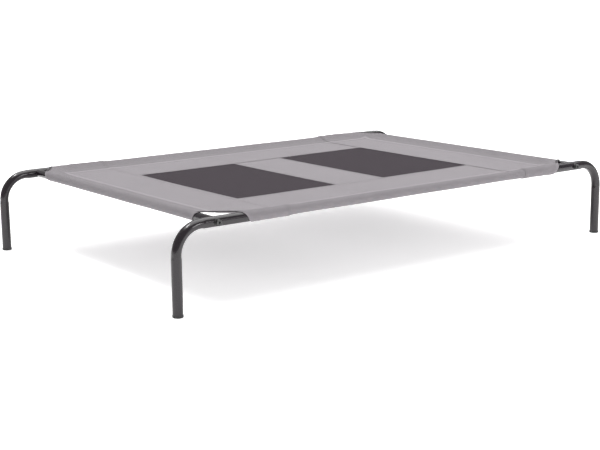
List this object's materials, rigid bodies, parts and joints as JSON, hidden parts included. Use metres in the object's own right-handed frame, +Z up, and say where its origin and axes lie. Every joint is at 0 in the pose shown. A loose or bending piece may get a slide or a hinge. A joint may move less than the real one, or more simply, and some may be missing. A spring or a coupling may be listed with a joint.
{
  "type": "raised dog bed",
  "caption": "Raised dog bed: a sleeved fabric deck with mesh panels on a low frame of bent steel tube, with bolted corners and capped feet.",
  "frame": {"origin": "on the floor, midway between the four legs", "axes": "+X along the long side, +Y across the bed, +Z up"},
  "size_m": [1.3012, 0.8382, 0.1975],
  "materials": {
    "frame_tube": "black powder coat, satin",
    "foot_plastic": "fine moulded texture",
    "zinc_steel": "zinc plated",
    "black_steel": "black oxide, satin",
    "washer_plastic": "smooth satin",
    "deck_cloth": "plain woven polyester, coated",
    "mesh": "open vinyl-coated mesh",
    "tape": "woven tape"
  },
  "bodies": {
    "root": {"leg_front_left": "frame_tube", "leg_front_right": "frame_tube", "leg_back_left": "frame_tube", "leg_back_right": "frame_tube", "long_rail_front": "frame_tube", "long_rail_back": "frame_tube", "cross_bar_left": "frame_tube", "cross_bar_right": "frame_tube", "foot_cap_front_left": "foot_plastic", "foot_cap_front_right": "foot_plastic", "foot_cap_back_left": "foot_plastic", "foot_cap_back_right": "foot_plastic", "nut_plug_front_left": "zinc_steel", "nut_plug_front_right": "zinc_steel", "nut_plug_back_left": "zinc_steel", "nut_plug_back_right": "zinc_steel", "corner_screw_front_left": "black_steel", "corner_screw_front_right": "black_steel", "corner_screw_back_left": "black_steel", "corner_screw_back_right": "black_steel", "saddle_washer_front_left": "washer_plastic", "saddle_washer_front_right": "washer_plastic", "saddle_washer_back_left": "washer_plastic", "saddle_washer_back_right": "washer_plastic", "deck_end_left": "deck_cloth", "deck_end_right": "deck_cloth", "deck_side_front": "deck_cloth", "deck_side_back": "deck_cloth", "deck_centre": "deck_cloth", "mesh_panel_left": "mesh", "mesh_panel_right": "mesh", "corner_tape_front_left": "tape", "corner_tape_front_right": "tape", "corner_tape_back_left": "tape", "corner_tape_back_right": "tape"}
  },
  "joints": []
}
